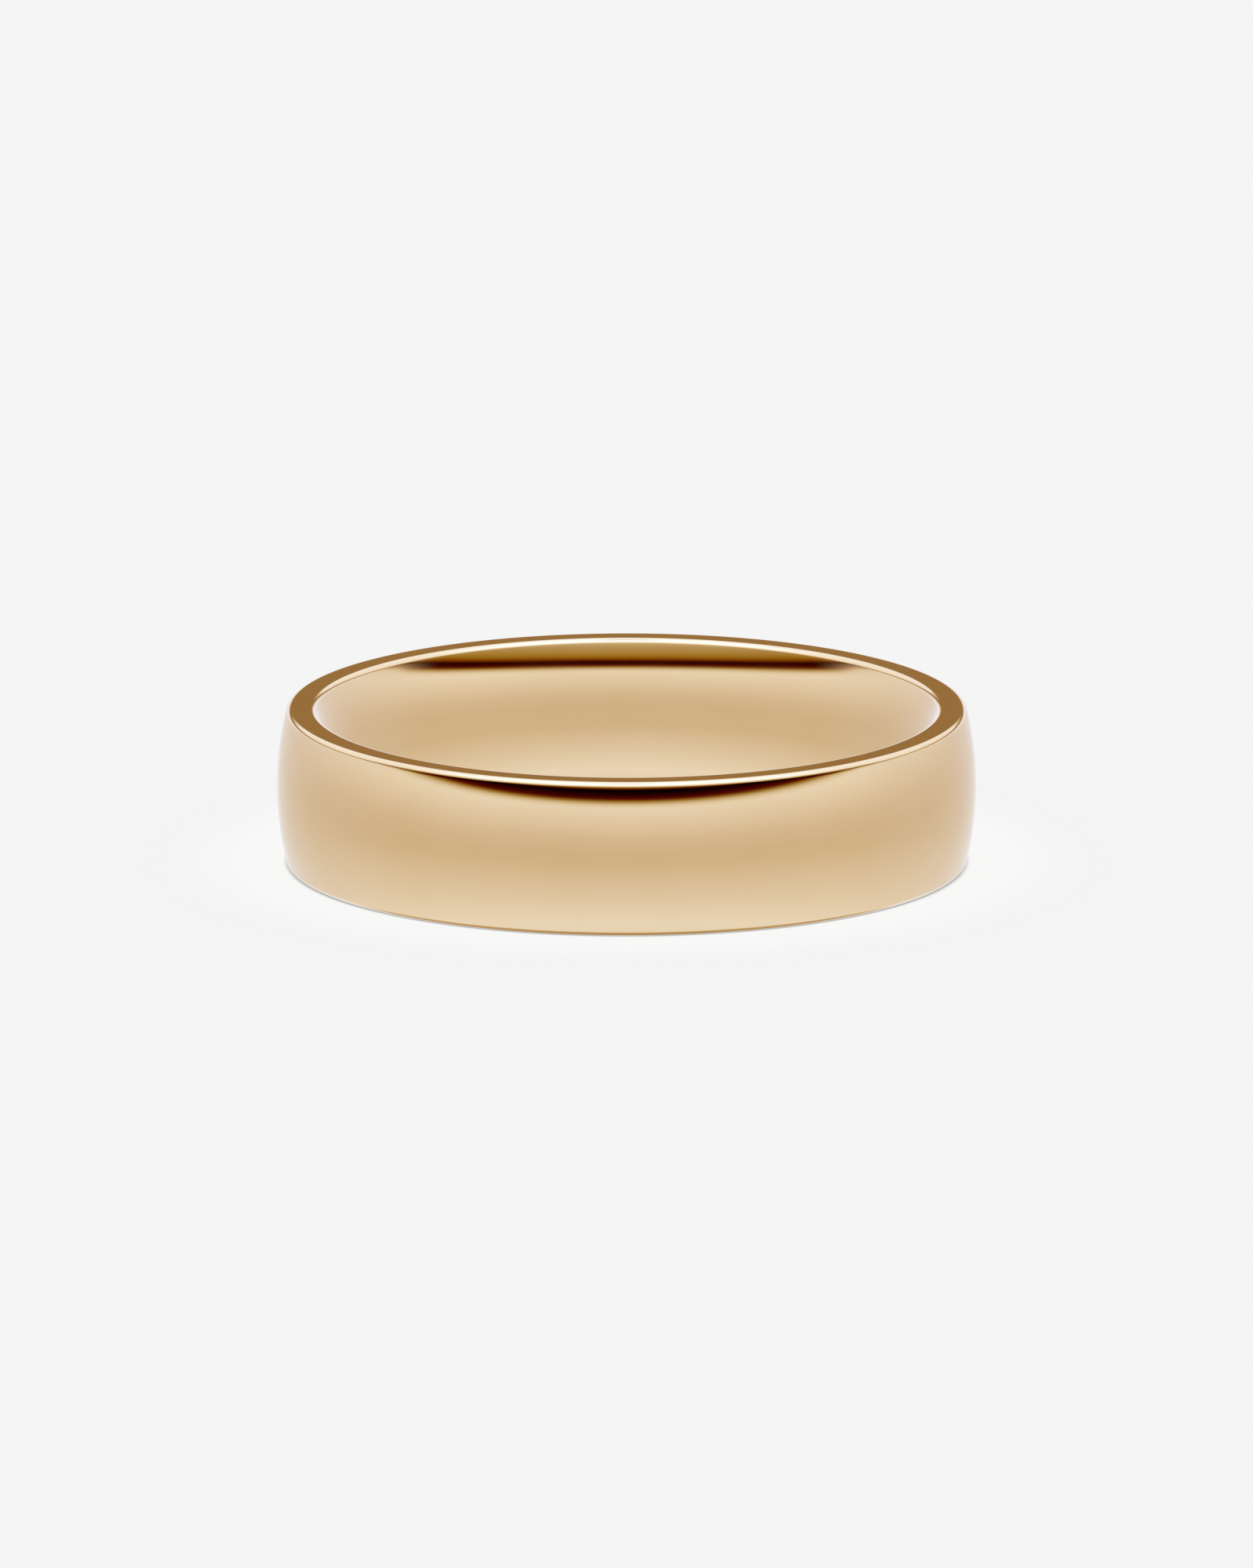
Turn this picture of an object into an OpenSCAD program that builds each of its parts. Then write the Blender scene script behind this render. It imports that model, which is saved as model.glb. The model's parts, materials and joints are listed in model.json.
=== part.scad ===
// Wedding band: one seamless comfort-fit ring, plain and polished all over.
// It stands on one of its flat ends, which lies on z = 0, and z is the finger's axis.
// Millimetres.

/* [Finger hole] */
// Inside diameter at the narrowest place (a 60 mm inside circumference)
bore_d = 19.1; // [14:0.05:24]
// Width of the straight land at the narrowest place
land_w = 0.4; // [0.3:0.05:1]
// How far the curved inside opens, from the land to each end
comfort_h = 0.35; // [0.1:0.005:0.45]

/* [Band] */
// Width of the band, along the finger
band_w = 5; // [2.5:0.1:8]
// Wall at mid-width, from the land to the crown
wall_t = 1.57; // [1.3:0.01:2.4]
// How far the domed outside falls away, from the crown to each end
dome_h = 0.315; // [0.1:0.005:0.45]

/* [Edges] */
// Rounding of the four edges between the flat ends and the curved sides
edge_r = 0.185; // [0.05:0.005:0.25]

/* [Hidden] */
$fn = 360;

GOLD = [0.84, 0.71, 0.52];

half_w = band_w / 2;
bore_r = bore_d / 2;
crown_r = bore_r + wall_t;

// By how much a rounding stands over the faces it blends into, so that they cross
hair = 0.0001;

// Radius of an arc that falls by h over half its chord, to the nearest 0.01
function arc_r(half_chord, h) =
    round(100 * (half_chord ^ 2 + h ^ 2) / (2 * h)) / 100;

// The section is drawn with its mid-width on y = 0 and the ring's axis on x = 0
dome_r = arc_r(half_w, dome_h);
dome_centre = [crown_r - dome_r, 0];
comfort_r = arc_r(half_w - land_w / 2, comfort_h);
comfort_centre = [bore_r + comfort_r, land_w / 2];

// Centre of an edge's rounding: edge_r inside the flat end, and edge_r inside the
// arc of radius r about centre, on its outer (side = 1) or its inner (side = -1) half
function edge_centre(centre, r, side) =
    let (y = half_w - edge_r, rise = y - centre.y)
    [centre.x + side * sqrt((r - edge_r) ^ 2 - rise ^ 2), y];

// Where a rounding meets the arc that it blends into
function arc_meets(edge, centre) =
    edge + edge_r * (edge - centre) / norm(edge - centre);

// What the comfort fit takes off the inside, from the land to the end where y > 0
module comfort_waste() {
    difference() {
        translate([bore_r - wall_t, land_w / 2]) square([2 * wall_t, half_w]);
        translate(comfort_centre) circle(r = comfort_r);
    }
}

// What the rounding takes off one corner of the section, at the end where y > 0
module corner_waste(centre, r, side) {
    edge = edge_centre(centre, r, side);
    meet = arc_meets(edge, centre);
    difference() {
        polygon([edge, [edge.x, half_w], [edge.x, half_w + edge_r],
                 [meet.x + side * edge_r, half_w + edge_r],
                 [meet.x + side * edge_r, meet.y], meet]);
        translate(edge) circle(r = edge_r + hair);
    }
}

module section() {
    difference() {
        intersection() {
            translate([bore_r, -half_w]) square([wall_t, band_w]);
            translate(dome_centre) circle(r = dome_r);
        }
        for (end = [0, 1])
            mirror([0, end]) {
                comfort_waste();
                corner_waste(dome_centre, dome_r, 1);
                corner_waste(comfort_centre, comfort_r, -1);
            }
    }
}

module band() {
    color(GOLD)
        translate([0, 0, half_w]) rotate_extrude() section();
}

band();
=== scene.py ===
"""A plain comfort-fit wedding band in polished yellow gold, on a pale studio floor."""

import json
import math

import bmesh
import bpy
from bpy.props import FloatProperty, FloatVectorProperty, IntProperty, PointerProperty
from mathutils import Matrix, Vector


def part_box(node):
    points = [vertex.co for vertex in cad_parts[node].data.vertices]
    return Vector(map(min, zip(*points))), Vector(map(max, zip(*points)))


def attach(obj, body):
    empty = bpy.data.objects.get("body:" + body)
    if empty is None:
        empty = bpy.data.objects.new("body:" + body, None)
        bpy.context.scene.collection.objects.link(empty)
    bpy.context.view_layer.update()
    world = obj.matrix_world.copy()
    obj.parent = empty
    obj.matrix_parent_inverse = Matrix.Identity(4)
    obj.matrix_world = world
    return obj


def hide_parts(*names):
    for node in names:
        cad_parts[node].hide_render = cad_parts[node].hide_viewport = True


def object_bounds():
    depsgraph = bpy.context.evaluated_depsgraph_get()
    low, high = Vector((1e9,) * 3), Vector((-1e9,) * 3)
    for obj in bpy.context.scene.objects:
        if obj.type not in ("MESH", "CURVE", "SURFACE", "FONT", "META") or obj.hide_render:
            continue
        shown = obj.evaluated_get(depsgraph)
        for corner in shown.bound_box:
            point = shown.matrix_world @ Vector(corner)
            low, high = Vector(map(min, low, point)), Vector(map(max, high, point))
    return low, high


bl_info = {
    "name": "Wedding Band",
    "version": (1, 0, 0),
    "blender": (4, 5, 0),
    "location": "View3D > Sidebar > Wedding Band",
    "description": "Builds a comfort-fit gold wedding band and the stage it stands on",
    "category": "Add Mesh",
}

MM = 0.001
FLOOR_RADIUS = 1.5  # metres
CAMERA_DISTANCE = 1.0  # metres
NEAREST_SEEN, FARTHEST_SEEN = 0.01, 3.0  # metres from the camera

BAND_WELD = 0.0003 * MM  # points of the section this near to each other become one
TENT_WELD = 0.01 * MM

# How many points each arc and line of the section has
DOME_POINTS, EDGE_POINTS, COMFORT_POINTS, FLAT_POINTS, LAND_POINTS = 65, 25, 25, 11, 5

# How many runs of polishing lines follow each other in one radian round the ring
LINE_RUNS = 3.0
# The haze noise lies mostly between these, and makes the roughness this much less or more
HAZE_SPREAD = 0.3, 0.7
ROUGHNESS_SPREAD = 0.85, 1.15

# Where the gap in the tent turns from black to brown: 1 is straight behind, -1 in front
GAP_TURNS_BROWN = -0.25, 0.4
# On the same scale, the tent's cloth hangs at its far distance behind this
TENT_STEPS_BACK = 0.01

# Painted shadow: the contact shadow on the paper is painted by distance from the foot
PAINTED_CONTACT_START = 0.04 * MM  # from the foot: the contact shadow is darkest up to here
# Painted light: these two place the warm light and shade painted on the paper inside the ring
PAINTED_BORE_EDGE_FADE = 0.3 * MM  # how softly the paper changes at the inner foot
PAINTED_BORE_MIDDLE = 0.4  # share of the inner foot's radius within which the paper is palest

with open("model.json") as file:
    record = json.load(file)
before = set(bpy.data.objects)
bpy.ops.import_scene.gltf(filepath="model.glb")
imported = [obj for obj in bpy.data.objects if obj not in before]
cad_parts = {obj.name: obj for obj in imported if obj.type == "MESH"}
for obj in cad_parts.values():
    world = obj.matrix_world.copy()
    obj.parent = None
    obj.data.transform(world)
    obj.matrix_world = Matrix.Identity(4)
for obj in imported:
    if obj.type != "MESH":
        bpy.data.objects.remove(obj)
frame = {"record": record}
CAD_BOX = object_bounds()
BAND_LOW, BAND_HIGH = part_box("band")
BORE = next(m["dims"] for m in frame["record"]["mounts"] if m["name"] == "finger_bore")


def to_linear(hex_colour):
    """The linear red, green and blue of an sRGB hex colour."""
    shares = [int(hex_colour[i : i + 2], 16) / 255 for i in (1, 3, 5)]
    return tuple(c / 12.92 if c <= 0.04045 else ((c + 0.055) / 1.055) ** 2.4 for c in shares)


def arc_radius(half_chord, height):
    """Radius of an arc that falls by height over half its chord, to the nearest 0.01 mm."""
    radius = (half_chord**2 + height**2) / (2 * height)
    return round(radius / MM, 2) * MM


def add(tree, kind, inputs=None, **settings):
    """Adds a node of one kind, with its settings, and sets or links its inputs."""
    node = tree.nodes.new(kind)
    for name, value in settings.items():
        setattr(node, name, value)
    for key, source in (inputs or {}).items():
        for one in source if isinstance(source, list) else [source]:
            if isinstance(one, bpy.types.NodeSocket):
                tree.links.new(one, node.inputs[key])
            else:
                node.inputs[key].default_value = one
    return node


def new_object(name, mesh):
    """A new object at the origin, linked into the scene."""
    made = bpy.data.objects.new(name, mesh)
    bpy.context.scene.collection.objects.link(made)
    return made


# ---------------------------------------------------------------- sizes and colours


class BandSizes(bpy.types.PropertyGroup):
    """The band's own sizes. The defaults are the real ring's."""

    bore_radius: FloatProperty(
        name="Bore radius",
        description="Inside radius at the narrowest place, on the land",
        default=BORE["r_mm"] * MM,
        min=7 * MM,
        max=12 * MM,
        precision=5,
        unit="LENGTH",
    )
    crown_radius: FloatProperty(
        name="Crown radius",
        description="Outside radius at mid-width, on top of the dome",
        default=round((BAND_HIGH.x - BAND_LOW.x) / 2, 5),
        min=8 * MM,
        max=15 * MM,
        precision=5,
        unit="LENGTH",
    )
    band_width: FloatProperty(
        name="Band width",
        description="Width along the finger",
        default=round(BAND_HIGH.z - BAND_LOW.z, 5),
        min=2.5 * MM,
        max=8 * MM,
        precision=5,
        unit="LENGTH",
    )
    dome_height: FloatProperty(
        name="Dome height",
        description="How far the outside falls away, from the crown to each end",
        default=0.315 * MM,
        min=0.1 * MM,
        max=0.45 * MM,
        precision=6,
        unit="LENGTH",
    )
    comfort_height: FloatProperty(
        name="Comfort height",
        description="How far the curved inside opens, from the land to each end",
        default=0.35 * MM,
        min=0.1 * MM,
        max=0.45 * MM,
        precision=6,
        unit="LENGTH",
    )
    land_width: FloatProperty(
        name="Land width",
        description="Width of the straight strip at the narrowest place of the inside",
        default=BORE["length_mm"] * MM,
        min=0.3 * MM,
        max=1 * MM,
        precision=6,
        unit="LENGTH",
    )
    edge_radius: FloatProperty(
        name="Edge rounding",
        description="Rounding of the four edges between the flat ends and the curved sides",
        default=0.185 * MM,
        min=0.05 * MM,
        max=0.25 * MM,
        precision=6,
        unit="LENGTH",
    )
    steps_around: IntProperty(
        name="Steps around",
        description="How many faces go once round the finger",
        default=384,
        min=48,
        max=512,
    )


class GoldFinish(bpy.types.PropertyGroup):
    """The metal and how well it is polished."""

    colour: FloatVectorProperty(
        name="Gold",
        description="Colour of the alloy where it mirrors straight back",
        default=to_linear("#DDBE91"),
        subtype="COLOR",
        size=3,
        min=0,
        max=1,
    )
    deeper_colour: FloatVectorProperty(
        name="Deeper gold",
        description="Colour of the alloy where the buffing left it a little redder",
        default=to_linear("#D9B98A"),
        subtype="COLOR",
        size=3,
        min=0,
        max=1,
    )
    roughness: FloatProperty(
        name="Outside roughness",
        description="Roughness of the buffed outside and the flat ends",
        default=0.04,
        min=0,
        max=1,
        subtype="FACTOR",
    )
    inside_roughness: FloatProperty(
        name="Inside roughness",
        description="Roughness of the bore, which a small felt cone polishes less evenly",
        default=0.05,
        min=0,
        max=1,
        subtype="FACTOR",
    )
    line_spacing: FloatProperty(
        name="Polishing lines",
        description="Distance from one polishing line to the next",
        default=0.15 * MM,
        min=0.01 * MM,
        max=1 * MM,
        precision=6,
        unit="LENGTH",
    )
    line_depth: FloatProperty(
        name="Line depth",
        description="How deep the polishing lines are drawn",
        default=0.00005 * MM,
        min=0,
        max=0.001 * MM,
        precision=9,
        unit="LENGTH",
    )
    haze_size: FloatProperty(
        name="Haze patches",
        description="Size of the soft patches that the buffing left",
        default=2.5 * MM,
        min=0.5 * MM,
        max=10 * MM,
        unit="LENGTH",
    )


class StageLook(bpy.types.PropertyGroup):
    """The floor, the light around the ring and where the camera stands."""

    paper: FloatVectorProperty(
        name="Paper",
        description="Colour of the seamless paper, floor and background alike",
        default=to_linear("#F5F5F5"),
        subtype="COLOR",
        size=3,
        min=0,
        max=1,
    )
    shaded: FloatProperty(
        name="Shaded share",
        description="Share of the paper's light that the ring can shade",
        default=0.12,
        min=0,
        max=1,
        subtype="FACTOR",
    )
    # Painted light: the glow round the foot is painted into the paper by radius, not cast by a lamp
    glow: FloatProperty(
        name="Glow",
        description="How much brighter the paper is right round the ring's foot",
        default=0.068,
        min=0,
        max=0.5,
    )
    painted_glow_width: FloatProperty(
        name="Glow width",
        description="How far from the foot the glow has faded away",
        default=4.9 * MM,
        min=0.5 * MM,
        max=30 * MM,
        unit="LENGTH",
    )
    # Painted shadow: the contact shadow is painted into the paper by radius; only the shaded share
    # above is really shaded by the ring
    contact: FloatProperty(
        name="Contact shadow",
        description="How much light is left where the ring touches the paper",
        default=0.3,
        min=0,
        max=1,
        subtype="FACTOR",
    )
    painted_contact_width: FloatProperty(
        name="Contact width",
        description="How far from the foot the contact shadow has faded away",
        default=0.34 * MM,
        min=0.05 * MM,
        max=3 * MM,
        precision=5,
        unit="LENGTH",
    )
    # Painted light and shade: the paper inside the ring is coloured with the gold's warm bounce and
    # the walls' shade, darker next to the bore
    painted_gold_bounce: FloatVectorProperty(
        name="Gold on the paper",
        description="Colour of the paper inside the ring, next to the bore",
        default=to_linear("#ECE1D0"),
        subtype="COLOR",
        size=3,
        min=0,
        max=1,
    )
    painted_bore_light: FloatVectorProperty(
        name="Paper in the bore",
        description="Colour of the paper in the middle of the ring",
        default=to_linear("#F3EEE8"),
        subtype="COLOR",
        size=3,
        min=0,
        max=1,
    )
    lamp_strength: FloatProperty(
        name="Lamp strength",
        description="Light of the tent where its colour is full white. Paper white is 1",
        default=3.35,
        min=1,
        max=20,
    )
    camera_height: FloatProperty(
        name="Framed height",
        description="How much of the scene the upright picture takes in, from foot to head",
        default=49.9 * MM,
        min=25 * MM,
        max=0.2,
        unit="LENGTH",
    )
    camera_elevation: FloatProperty(
        name="Camera elevation",
        description="How far above the horizon the camera looks down from",
        default=math.radians(12.83),
        min=0,
        max=math.radians(90),
        subtype="ANGLE",
    )
    aim_rise: FloatProperty(
        name="Aim",
        description="How far above the middle of the ring the camera aims",
        default=0.011 * MM,
        precision=6,
        unit="LENGTH",
    )


# ---------------------------------------------------------------- the band


def lathe_tree(material):
    """Node tree that draws the band's section from its sizes and turns it round the axis."""
    tree = bpy.data.node_groups.new("turned_band", "GeometryNodeTree")
    tree.interface.new_socket("Geometry", in_out="OUTPUT", socket_type="NodeSocketGeometry")
    for name in (
        "Bore Radius",
        "Crown Radius",
        "Band Width",
        "Dome Arc Radius",
        "Comfort Arc Radius",
        "Land Width",
        "Edge Radius",
    ):
        socket = tree.interface.new_socket(name, in_out="INPUT", socket_type="NodeSocketFloat")
        socket.subtype = "DISTANCE"
    tree.interface.new_socket("Steps Around", in_out="INPUT", socket_type="NodeSocketInt")
    known = {socket.name: socket for socket in add(tree, "NodeGroupInput").outputs}

    # Where the section's arcs and lines meet. Each step has its name, what it does and to what.
    # An edge rounding touches both its curved side and the flat end, so its centre lies on a
    # circle about the side's centre, and the turn is how far round that circle it is.
    steps = (
        ("half_width", "MULTIPLY", "Band Width", 0.5),
        ("half_land", "MULTIPLY", "Land Width", 0.5),
        ("minus_land", "MULTIPLY", "half_land", -1.0),
        ("minus_crown", "MULTIPLY", "Crown Radius", -1.0),
        ("edge_height", "SUBTRACT", "half_width", "Edge Radius"),
        ("dome_x", "SUBTRACT", "Crown Radius", "Dome Arc Radius"),
        ("dome_reach", "SUBTRACT", "Dome Arc Radius", "Edge Radius"),
        ("dome_sine", "DIVIDE", "edge_height", "dome_reach"),
        ("dome_turn", "ARCSINE", "dome_sine"),
        ("minus_dome_turn", "MULTIPLY", "dome_turn", -1.0),
        ("dome_sweep", "MULTIPLY", "dome_turn", 2.0),
        ("dome_cosine", "COSINE", "dome_turn"),
        ("outer_x", "MULTIPLY_ADD", "dome_reach", "dome_cosine", "dome_x"),
        ("outer_sweep", "SUBTRACT", math.pi / 2, "dome_turn"),
        ("comfort_x", "ADD", "Bore Radius", "Comfort Arc Radius"),
        ("comfort_reach", "SUBTRACT", "Comfort Arc Radius", "Edge Radius"),
        ("comfort_rise", "SUBTRACT", "edge_height", "half_land"),
        ("comfort_sine", "DIVIDE", "comfort_rise", "comfort_reach"),
        ("comfort_turn", "ARCSINE", "comfort_sine"),
        ("comfort_start", "SUBTRACT", math.pi, "comfort_turn"),
        ("comfort_cosine", "COSINE", "comfort_turn"),
        ("comfort_run", "MULTIPLY", "comfort_reach", "comfort_cosine"),
        ("inner_x", "SUBTRACT", "comfort_x", "comfort_run"),
        ("inner_sweep", "SUBTRACT", math.pi / 2, "comfort_turn"),
    )
    for name, operation, *values in steps:
        inputs = {i: known.get(value, value) for i, value in enumerate(values)}
        known[name] = add(tree, "ShaderNodeMath", inputs, operation=operation).outputs[0]
    points = {
        "dome_centre": ("dome_x", 0.0),
        "outer_centre": ("outer_x", "edge_height"),
        "inner_centre": ("inner_x", "edge_height"),
        "comfort_centre": ("comfort_x", "half_land"),
        "flat_outside": ("outer_x", "half_width"),
        "flat_inside": ("inner_x", "half_width"),
        "land_top": ("Bore Radius", "half_land"),
        "land_foot": ("Bore Radius", "minus_land"),
        "to_crown": ("minus_crown", 0.0),
    }
    for name, (x, y) in points.items():
        place = {"X": known.get(x, x), "Y": known.get(y, y)}
        known[name] = add(tree, "ShaderNodeCombineXYZ", place).outputs[0]

    # Each arc: how many points, radius, start, sweep and centre
    arcs = {
        "dome": (DOME_POINTS, "Dome Arc Radius", "minus_dome_turn", "dome_sweep", "dome_centre"),
        "outer_edge": (EDGE_POINTS, "Edge Radius", "dome_turn", "outer_sweep", "outer_centre"),
        "inner_edge": (EDGE_POINTS, "Edge Radius", math.pi / 2, "inner_sweep", "inner_centre"),
        "comfort": (
            COMFORT_POINTS, "Comfort Arc Radius", "comfort_start", "comfort_turn", "comfort_centre"
        ),
    }
    drawn = {}
    for name, (count, radius, start, sweep, centre) in arcs.items():
        bend = {
            "Resolution": count,
            "Radius": known[radius],
            "Start Angle": known.get(start, start),
            "Sweep Angle": known[sweep],
        }
        arc = add(tree, "GeometryNodeCurveArc", bend, mode="RADIUS")
        placed = {"Geometry": arc.outputs["Curve"], "Translation": known[centre]}
        drawn[name] = add(tree, "GeometryNodeTransform", placed).outputs[0]

    # The flat end and the land: how many points, from, to
    lines = {
        "flat": (FLAT_POINTS, "flat_outside", "flat_inside"),
        "land": (LAND_POINTS, "land_top", "land_foot"),
    }
    for name, (count, start, end) in lines.items():
        ends = {"Start": known[start], "End": known[end]}
        line = add(tree, "GeometryNodeCurvePrimitiveLine", ends, mode="POINTS")
        spaced = {"Curve": line.outputs[0], "Count": count}
        drawn[name] = add(tree, "GeometryNodeResampleCurve", spaced).outputs[0]

    one_end = [drawn[n] for n in ("outer_edge", "flat", "inner_edge", "comfort")]
    end = add(tree, "GeometryNodeJoinGeometry", {"Geometry": one_end}).outputs[0]
    other_end = add(tree, "GeometryNodeTransform", {"Geometry": end, "Scale": (1, -1, 1)}).outputs[0]
    whole = {"Geometry": [end, other_end, drawn["dome"], drawn["land"]]}
    section = add(tree, "GeometryNodeJoinGeometry", whole).outputs[0]

    # The section is drawn about the ring's axis, and the sweep carries it on the crown's circle
    moved = {"Geometry": section, "Translation": known["to_crown"]}
    carried = add(tree, "GeometryNodeTransform", moved).outputs[0]
    round_crown = {"Resolution": known["Steps Around"], "Radius": known["Crown Radius"]}
    circle = add(tree, "GeometryNodeCurvePrimitiveCircle", round_crown, mode="RADIUS")
    sweep = {"Curve": circle.outputs["Curve"], "Profile Curve": carried}
    swept = add(tree, "GeometryNodeCurveToMesh", sweep)
    rise = add(tree, "ShaderNodeCombineXYZ", {"Z": known["half_width"]}).outputs[0]
    stood = add(tree, "GeometryNodeTransform", {"Geometry": swept.outputs[0], "Translation": rise})
    near = {"Geometry": stood.outputs[0], "Distance": BAND_WELD}
    welded = add(tree, "GeometryNodeMergeByDistance", near)
    smooth = add(tree, "GeometryNodeSetShadeSmooth", {"Geometry": welded.outputs[0]})
    real = add(tree, "GeometryNodeRealizeInstances", {"Geometry": smooth.outputs[0]})
    done = {"Geometry": real.outputs[0], "Material": material}
    add(tree, "NodeGroupOutput", {0: add(tree, "GeometryNodeSetMaterial", done).outputs[0]})
    return tree


def polished_yellow_gold(finish, sizes):
    """14 carat yellow gold, turned on a lathe, then buffed to a mirror. The eye gets warm,
    clean-edged reflections that pale towards the outline, a slightly softer mirror in the bore,
    and faint polishing lines and haze that keep the metal from looking like coloured glass."""
    material = bpy.data.materials.new("polished_yellow_gold")
    material.use_nodes = True
    tree = material.node_tree
    tree.nodes.clear()
    place = add(tree, "ShaderNodeTexCoord").outputs["Object"]
    parts = add(tree, "ShaderNodeSeparateXYZ", {0: place}).outputs
    flat = add(tree, "ShaderNodeCombineXYZ", {"X": parts["X"], "Y": parts["Y"]}).outputs[0]
    radius = add(tree, "ShaderNodeVectorMath", {0: flat}, operation="LENGTH").outputs["Value"]
    round_way = add(tree, "ShaderNodeVectorMath", {0: flat}, operation="NORMALIZE").outputs[0]

    # Polishing lines: each runs on for about 20 degrees round the ring, with the next 0.15 mm
    # beside it. A real buff leaves them about ten times finer, too fine to show, so they are
    # drawn this coarse.
    per_metre = 1 / finish.line_spacing
    slow = add(tree, "ShaderNodeVectorMath", {0: round_way, "Scale": LINE_RUNS}, operation="SCALE")
    across = add(tree, "ShaderNodeMath", {0: parts["Z"], 1: per_metre}, operation="MULTIPLY")
    lift = add(tree, "ShaderNodeCombineXYZ", {"Z": across.outputs[0]}).outputs[0]
    along = add(tree, "ShaderNodeVectorMath", {0: slow.outputs[0], 1: lift}, operation="ADD")
    depth = add(tree, "ShaderNodeMath", {0: radius, 1: per_metre}, operation="MULTIPLY")
    scratch = {"Vector": along.outputs[0], "W": depth.outputs[0], "Scale": 1.0, "Detail": 2.0}
    lines = add(tree, "ShaderNodeTexNoise", scratch, noise_dimensions="4D").outputs["Fac"]
    relief = {"Height": lines, "Strength": 1.0, "Distance": finish.line_depth}
    bump = add(tree, "ShaderNodeBump", relief).outputs[0]

    # Buffing haze: soft patches 2.5 mm across, where the mop pressed less
    patches = {"Vector": place, "Scale": 1 / finish.haze_size, "Detail": 3.0}
    haze = add(tree, "ShaderNodeTexNoise", patches).outputs["Fac"]
    tones = (*finish.colour, 1), (*finish.deeper_colour, 1)
    toned = {0: haze, 6: tones[0], 7: tones[1]}
    colour = add(tree, "ShaderNodeMix", toned, data_type="RGBA").outputs[2]

    # The bore is everything nearer the axis than the inner edge of the flat ends
    flat_edge = sizes.bore_radius + sizes.comfort_height + sizes.edge_radius
    mirror = {
        "Value": radius,
        "From Min": flat_edge,
        "From Max": flat_edge - sizes.edge_radius / 2,
        "To Min": finish.roughness,
        "To Max": finish.inside_roughness,
    }
    polish = add(tree, "ShaderNodeMapRange", mirror, interpolation_type="SMOOTHSTEP").outputs[0]
    spread = {"Value": haze}
    spread["From Min"], spread["From Max"] = HAZE_SPREAD
    spread["To Min"], spread["To Max"] = ROUGHNESS_SPREAD
    uneven = add(tree, "ShaderNodeMapRange", spread).outputs[0]
    roughness = add(tree, "ShaderNodeMath", {0: polish, 1: uneven}, operation="MULTIPLY")
    metal = {
        "Base Color": colour,
        "Metallic": 1.0,
        "Roughness": roughness.outputs[0],
        "Normal": bump,
    }
    shader = add(tree, "ShaderNodeBsdfPrincipled", metal)
    add(tree, "ShaderNodeOutputMaterial", {"Surface": shader.outputs[0]})
    return material


class BAND_OT_polished_band(bpy.types.Operator):
    """Turns the band from its section and gives it its polished gold"""

    bl_idname = "wedding_band.polished_band"
    bl_label = "Polished Band"
    bl_options = {"REGISTER", "UNDO"}

    def execute(self, context):
        sizes, finish = context.scene.band_sizes, context.scene.gold_finish
        material = polished_yellow_gold(finish, sizes)
        maker = new_object("band_maker", bpy.data.meshes.new("band_maker"))
        modifier = maker.modifiers.new("turned_band", "NODES")
        modifier.node_group = lathe_tree(material)
        half_width = sizes.band_width / 2
        values = {
            "Bore Radius": sizes.bore_radius,
            "Crown Radius": sizes.crown_radius,
            "Band Width": sizes.band_width,
            "Dome Arc Radius": arc_radius(half_width, sizes.dome_height),
            "Comfort Arc Radius": arc_radius(
                half_width - sizes.land_width / 2, sizes.comfort_height
            ),
            "Land Width": sizes.land_width,
            "Edge Radius": sizes.edge_radius,
            "Steps Around": sizes.steps_around,
        }
        for item in modifier.node_group.interface.items_tree:
            if item.in_out == "INPUT":
                modifier[item.identifier] = values[item.name]
        context.view_layer.update()
        made = maker.evaluated_get(context.evaluated_depsgraph_get())
        mesh = bpy.data.meshes.new_from_object(made)
        bpy.data.objects.remove(maker)
        mesh.name = "polished_band"
        shape = bmesh.new()
        shape.from_mesh(mesh)
        bmesh.ops.recalc_face_normals(shape, faces=shape.faces)
        open_edges = sum(not edge.is_manifold for edge in shape.edges)
        if shape.calc_volume(signed=True) < 0:
            bmesh.ops.reverse_faces(shape, faces=shape.faces)
        shape.to_mesh(mesh)
        shape.free()
        if open_edges or not mesh.polygons:
            raise RuntimeError(f"the band isn't closed: {open_edges} open edges")
        band = new_object("polished_band", mesh)
        # The ring is left out of its own mirror, which shows only the light tent
        band.visible_glossy = False
        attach(band, "root")
        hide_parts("band")
        return {"FINISHED"}


# ---------------------------------------------------------------- the stage

# What the tent shines from each height, in degrees above the ring's middle, as a share of the
# lamp's light: lowest, a painted warm shade that stands for the paper in the ring's own shade by
# its foot, then the pale sweep of paper, the dark gap under the lamp's skirt, and the lamp itself,
# with an opening overhead. The lamp is tinted blue against the gold's own colour, so that its
# mirror image comes out white.
FRONT_LIGHT = (
    # Painted shade: the lowest stops stand for the paper in the ring's own shade
    (-76, "#74674C"),
    (-58, "#857E70"),
    (-48, "#919293"),
    (-41, "#9CA5B7"),
    (-36, "#9EA8BC"),
    (-14, "#8E8D8B"),
    (-10, "#8D8B8A"),
    (-5, "#909091"),
    (6.3, "#9DA5B6"),
    (7.4, "#9AA2AE"),
    (8.15, "#8F8E88"),
    (8.7, "#807861"),
    (9.15, "#655412"),
    (9.6, "#470A00"),
    (10.15, "#2F0000"),
    (10.8, "#230000"),
    (12.25, "#000000"),
    (13.4, "#000000"),
    (13.55, "#370000"),
    (14.4, "#4B1A00"),
    (15.2, "#5D4300"),
    (17.2, "#6F5E2B"),
    (21, "#7A7058"),
    (28, "#959890"),
    (40, "#A7B2CD"),
    (52, "#ADCBFF"),
    (84, "#ADCBFF"),
    (86, "#959595"),
)
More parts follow.
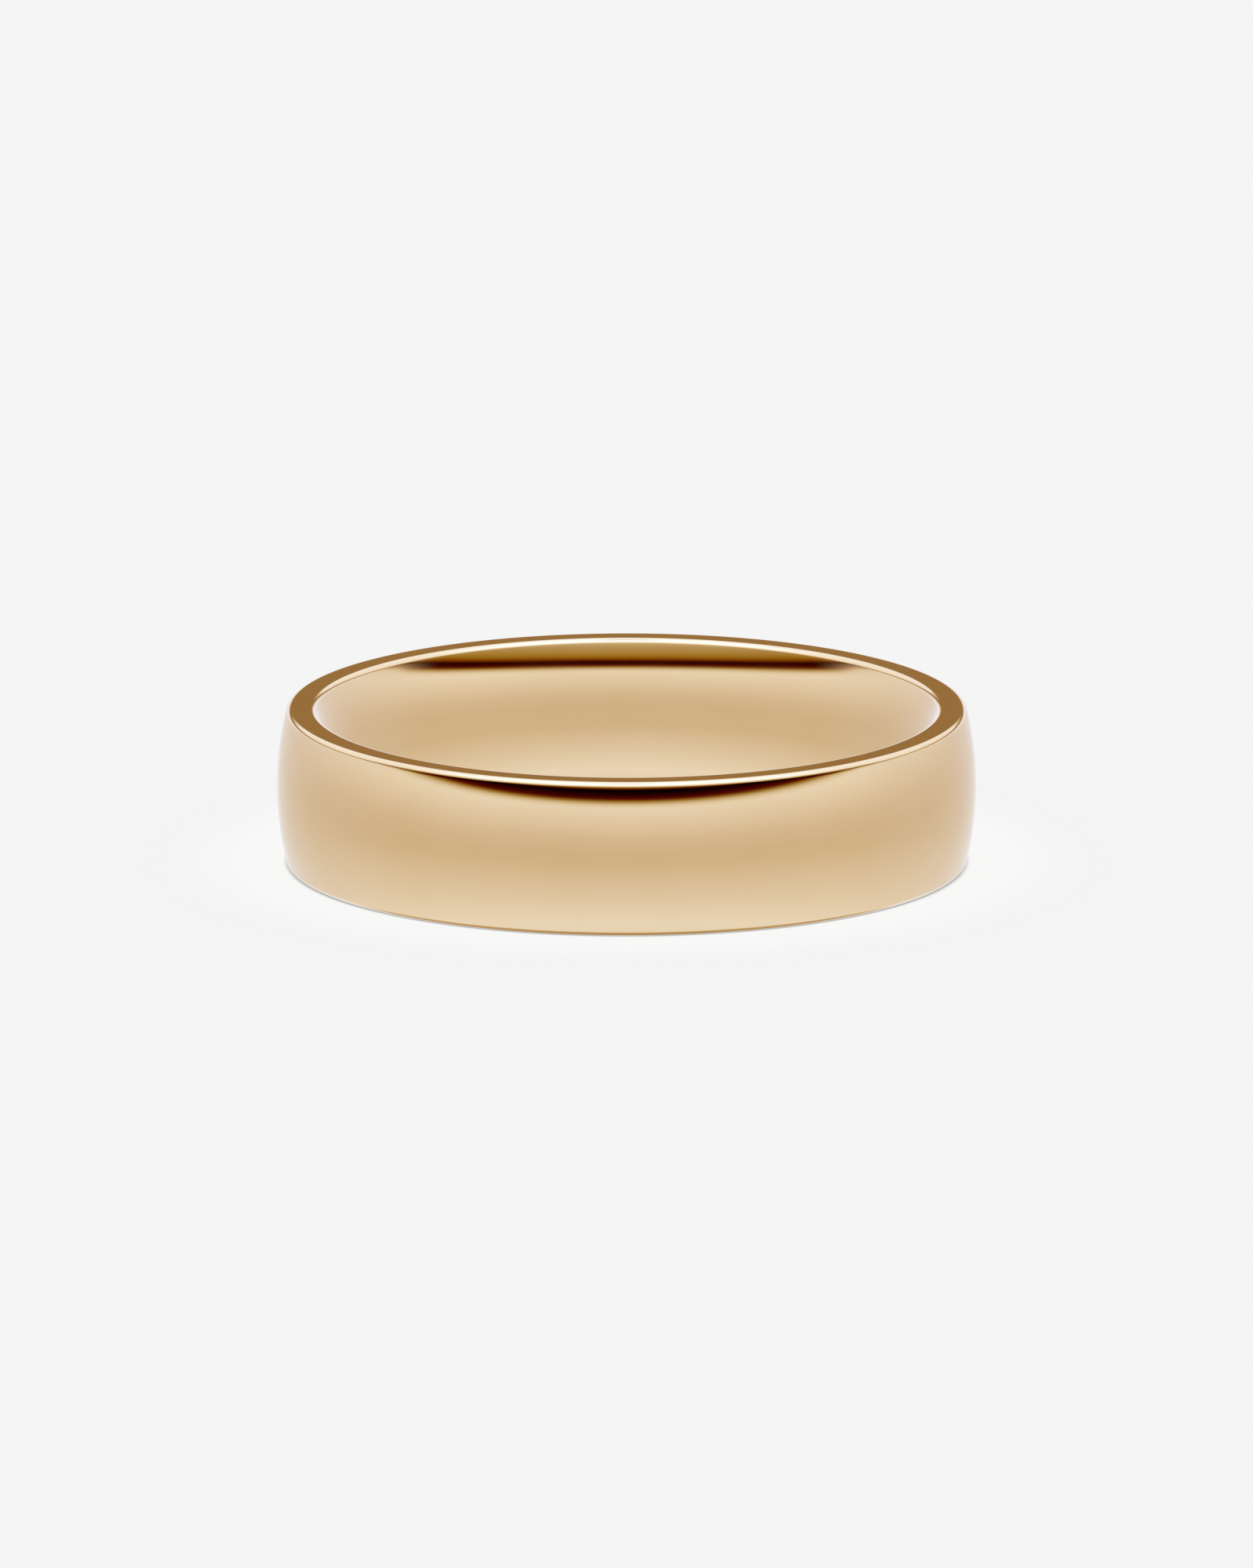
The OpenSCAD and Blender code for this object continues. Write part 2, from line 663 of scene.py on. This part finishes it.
BACK_LIGHT = (
    # Painted shade: the lowest stops stand for the paper in the ring's own shade
    (-90, "#6E6042"),
    (-58, "#796E57"),
    (-46, "#868175"),
    (-40, "#9AA0AD"),
    (-36, "#9EA8BC"),
    (-14, "#8E8F92"),
    (-10, "#8D8D90"),
    (-5, "#909197"),
    (4.5, "#9AA2B2"),
    (8, "#999EAC"),
    (10, "#8F8B85"),
    (11.6, "#7B6E58"),
    (12.4, "#5F4B2C"),
    (14.0, "#5F4B2C"),
    (16, "#7C7562"),
    (19, "#9EA6B6"),
    (30, "#A4AFC4"),
    (50, "#A7B6D4"),
    (68, "#ADCBFF"),
    (84, "#ADCBFF"),
    (86, "#959595"),
)
# How far the tent's cloth hangs from the ring's middle at each height, in degrees and mm. In
# front the lamp's skirt hangs nearest, and the cloth below it and the opening are further off.
TENT_SHAPE = (
    (-90, 600),
    (-60, 600),
    (-30, 600),
    (-1, 600),
    (0.5, 250),
    (6, 250),
    (12.2, 250),
    (13.4, 90),
    (20, 90),
    (40, 90),
    (65, 90),
    (80, 90),
    (90, 600),
)
TENT_BACK = 600  # mm, at every height behind the ring
TENT_SIDES = 64


def lit_tent_cloth(look, centre):
    """White cloth lit from outside, with a dark gap under the lamp. The eye never sees it, only
    its mirror image: the pale bands, the dark crescent and the bright rims on the gold."""
    material = bpy.data.materials.new("lit_tent_cloth")
    material.use_nodes = True
    tree = material.node_tree
    tree.nodes.clear()
    place = add(tree, "ShaderNodeTexCoord").outputs["Object"]
    away = add(tree, "ShaderNodeVectorMath", {0: place, 1: tuple(centre)}, operation="SUBTRACT")
    way = add(tree, "ShaderNodeVectorMath", {0: away.outputs[0]}, operation="NORMALIZE")
    parts = add(tree, "ShaderNodeSeparateXYZ", {0: way.outputs[0]}).outputs
    height = add(tree, "ShaderNodeMath", {0: parts["Z"]}, operation="ARCSINE").outputs[0]
    whole = {"Value": height, "From Min": -math.pi / 2, "From Max": math.pi / 2}
    share = add(tree, "ShaderNodeMapRange", whole).outputs[0]
    sides = []
    for stops in (FRONT_LIGHT, BACK_LIGHT):
        ramp = add(tree, "ShaderNodeValToRGB", {"Fac": share})
        elements = ramp.color_ramp.elements
        while len(elements) > 1:
            elements.remove(elements[-1])
        for i, (degrees, light) in enumerate(stops):
            position = (degrees + 90) / 180
            stop = elements.new(position) if i else elements[0]
            stop.position = position
            stop.color = (*to_linear(light), 1)
        sides.append(ramp.outputs["Color"])

    # The gap is black on the camera's side and brown behind the ring, where the paper rises
    flat = add(tree, "ShaderNodeCombineXYZ", {"X": parts["X"], "Y": parts["Y"]}).outputs[0]
    turned = add(tree, "ShaderNodeVectorMath", {0: flat}, operation="NORMALIZE").outputs[0]
    behind = add(tree, "ShaderNodeSeparateXYZ", {0: turned}).outputs["Y"]
    turn = {"Value": behind, "From Min": GAP_TURNS_BROWN[0], "From Max": GAP_TURNS_BROWN[1]}
    blend = add(tree, "ShaderNodeMapRange", turn, interpolation_type="SMOOTHSTEP").outputs[0]
    mixed = {0: blend, 6: sides[0], 7: sides[1]}
    both = add(tree, "ShaderNodeMix", mixed, data_type="RGBA").outputs[2]
    glow = add(tree, "ShaderNodeEmission", {"Color": both, "Strength": look.lamp_strength})
    add(tree, "ShaderNodeOutputMaterial", {"Surface": glow.outputs[0]})
    return material


def light_tent(look, centre):
    """The tent of light that stands all round the ring. Only the ring's mirror sees it."""
    shape, rings = bmesh.new(), []
    for degrees, distance in TENT_SHAPE:
        ring, height = [], math.radians(degrees)
        for step in range(TENT_SIDES):
            turn = 2 * math.pi * step / TENT_SIDES
            flat = Vector((math.cos(turn), math.sin(turn), 0)) * math.cos(height)
            far = TENT_BACK if flat.y > TENT_STEPS_BACK else distance
            way = flat + Vector((0, 0, math.sin(height)))
            ring.append(shape.verts.new(centre + way * far * MM))
        rings.append(ring)
    for low, high in zip(rings, rings[1:]):
        for i in range(TENT_SIDES):
            j = (i + 1) % TENT_SIDES
            shape.faces.new((low[i], low[j], high[j], high[i]))
    bmesh.ops.remove_doubles(shape, verts=shape.verts, dist=TENT_WELD)
    mesh = bpy.data.meshes.new("light_tent")
    shape.to_mesh(mesh)
    shape.free()
    mesh.materials.append(lit_tent_cloth(look, centre))
    tent = new_object("light_tent", mesh)
    tent.visible_camera = tent.visible_diffuse = tent.visible_shadow = False


def paper_with_painted_light(look, sizes):
    """Seamless background paper, lit evenly away from the ring, with a small matt share that the ring
    really shades. The eye gets a floor with no horizon, a painted glow where the ring stands, a thin
    painted contact shadow, and painted warm light inside the bore."""
    material = bpy.data.materials.new("paper_with_painted_light")
    material.use_nodes = True
    tree = material.node_tree
    tree.nodes.clear()
    shaded = look.shaded
    plain = [c * (1 - shaded) for c in look.paper]
    foot = sizes.crown_radius - sizes.dome_height - sizes.edge_radius
    inner_foot = sizes.bore_radius + sizes.comfort_height + sizes.edge_radius
    place = add(tree, "ShaderNodeTexCoord").outputs["Object"]
    radius = add(tree, "ShaderNodeVectorMath", {0: place}, operation="LENGTH").outputs["Value"]

    # Painted light and shade by radius: a glow and a contact shadow round the foot, and warm light
    # inside the bore.
    # Each: how it eases, from and to which radius, and its value at each
    touch = foot + PAINTED_CONTACT_START
    painted_light_fades = {
        "glow": ("SMOOTHERSTEP", foot, foot + look.painted_glow_width, 1 + look.glow, 1.0),
        "contact": ("SMOOTHSTEP", touch, foot + look.painted_contact_width, look.contact, 1.0),
        "within": ("SMOOTHSTEP", inner_foot, inner_foot - PAINTED_BORE_EDGE_FADE, 0.0, 1.0),
        "middle": ("SMOOTHSTEP", inner_foot, inner_foot * PAINTED_BORE_MIDDLE, 0.0, 1.0),
    }
    painted_light_fade = {}
    for name, (ease, start, end, first, last) in painted_light_fades.items():
        reach = {"Value": radius, "From Min": start, "From Max": end, "To Min": first, "To Max": last}
        painted_light_fade[name] = add(tree, "ShaderNodeMapRange", reach, interpolation_type=ease).outputs[0]
    both = {0: painted_light_fade["glow"], 1: painted_light_fade["contact"]}
    around = add(tree, "ShaderNodeMath", both, operation="MULTIPLY").outputs[0]
    strength = add(tree, "ShaderNodeMix", {0: painted_light_fade["within"], 2: around, 3: 1.0}).outputs[0]
    # Painted warm light and shade inside the bore, given as the paper's colour
    warm = [[c * (1 - shaded) for c in colour] for colour in (look.painted_gold_bounce, look.painted_bore_light)]
    bore = {0: painted_light_fade["middle"], 6: (*warm[0], 1), 7: (*warm[1], 1)}
    inside = add(tree, "ShaderNodeMix", bore, data_type="RGBA").outputs[2]
    halves = {0: painted_light_fade["within"], 6: (*plain, 1), 7: inside}
    light = add(tree, "ShaderNodeMix", halves, data_type="RGBA").outputs[2]
    own = add(tree, "ShaderNodeEmission", {"Color": light, "Strength": strength})
    matt = add(tree, "ShaderNodeBsdfDiffuse", {"Color": (shaded, shaded, shaded, 1)})
    paper = add(tree, "ShaderNodeAddShader", {0: own.outputs[0], 1: matt.outputs[0]})
    add(tree, "ShaderNodeOutputMaterial", {"Surface": paper.outputs[0]})
    return material


def paper_floor(look, sizes):
    """The sheet of paper that the ring stands on. The ring's mirror sees the tent, not this."""
    shape = bmesh.new()
    bmesh.ops.create_circle(shape, cap_ends=True, segments=128, radius=FLOOR_RADIUS)
    mesh = bpy.data.meshes.new("paper_floor")
    shape.to_mesh(mesh)
    shape.free()
    mesh.materials.append(paper_with_painted_light(look, sizes))
    floor = new_object("paper_floor", mesh)
    floor.visible_glossy = False


class BAND_OT_stage(bpy.types.Operator):
    """Lays the paper, lights it and stands the camera in front of the ring"""

    bl_idname = "wedding_band.stage"
    bl_label = "Stage"
    bl_options = {"REGISTER", "UNDO"}

    def execute(self, context):
        scene, look = context.scene, context.scene.stage_look
        low, high = CAD_BOX
        centre = (low + high) / 2
        paper_floor(look, scene.band_sizes)
        light_tent(look, centre)
        world = bpy.data.worlds.new("pale_studio")
        world.use_nodes = True
        world.node_tree.nodes.clear()
        sky = add(world.node_tree, "ShaderNodeBackground", {"Color": (*look.paper, 1)})
        add(world.node_tree, "ShaderNodeOutputWorld", {"Surface": sky.outputs[0]})
        scene.world = world
        lens = bpy.data.cameras.new("camera")
        lens.type = "ORTHO"
        lens.ortho_scale = look.camera_height
        lens.clip_start, lens.clip_end = NEAREST_SEEN, FARTHEST_SEEN
        camera = new_object("camera", lens)
        tilt = look.camera_elevation
        towards = Vector((0, -math.cos(tilt), math.sin(tilt)))
        camera.location = centre + Vector((0, 0, look.aim_rise)) + towards * CAMERA_DISTANCE
        camera.rotation_mode = "QUATERNION"
        camera.rotation_quaternion = (-towards).to_track_quat("-Z", "Y")
        scene.camera = camera
        scene.view_settings.view_transform = "Standard"
        return {"FINISHED"}


class BAND_PT_sidebar(bpy.types.Panel):
    """The band's sizes and finish, and the buttons that make it"""

    bl_idname = "BAND_PT_sidebar"
    bl_label = "Wedding Band"
    bl_space_type = "VIEW_3D"
    bl_region_type = "UI"
    bl_category = "Wedding Band"

    def draw(self, context):
        groups = {
            "Sizes": context.scene.band_sizes,
            "Gold": context.scene.gold_finish,
            "Stage": context.scene.stage_look,
        }
        for title, group in groups.items():
            box = self.layout.box()
            box.label(text=title)
            for name in group.__annotations__:
                box.prop(group, name)
        for operator in (BAND_OT_polished_band, BAND_OT_stage):
            self.layout.operator(operator.bl_idname)


CLASSES = (
    BandSizes,
    GoldFinish,
    StageLook,
    BAND_OT_polished_band,
    BAND_OT_stage,
    BAND_PT_sidebar,
)


def register():
    for cls in CLASSES:
        bpy.utils.register_class(cls)
    bpy.types.Scene.band_sizes = PointerProperty(type=BandSizes)
    bpy.types.Scene.gold_finish = PointerProperty(type=GoldFinish)
    bpy.types.Scene.stage_look = PointerProperty(type=StageLook)


def unregister():
    del bpy.types.Scene.stage_look
    del bpy.types.Scene.gold_finish
    del bpy.types.Scene.band_sizes
    for cls in reversed(CLASSES):
        bpy.utils.unregister_class(cls)


def main():
    register()
    bpy.ops.wedding_band.polished_band()
    bpy.ops.wedding_band.stage()


if __name__ == "__main__":
    main()
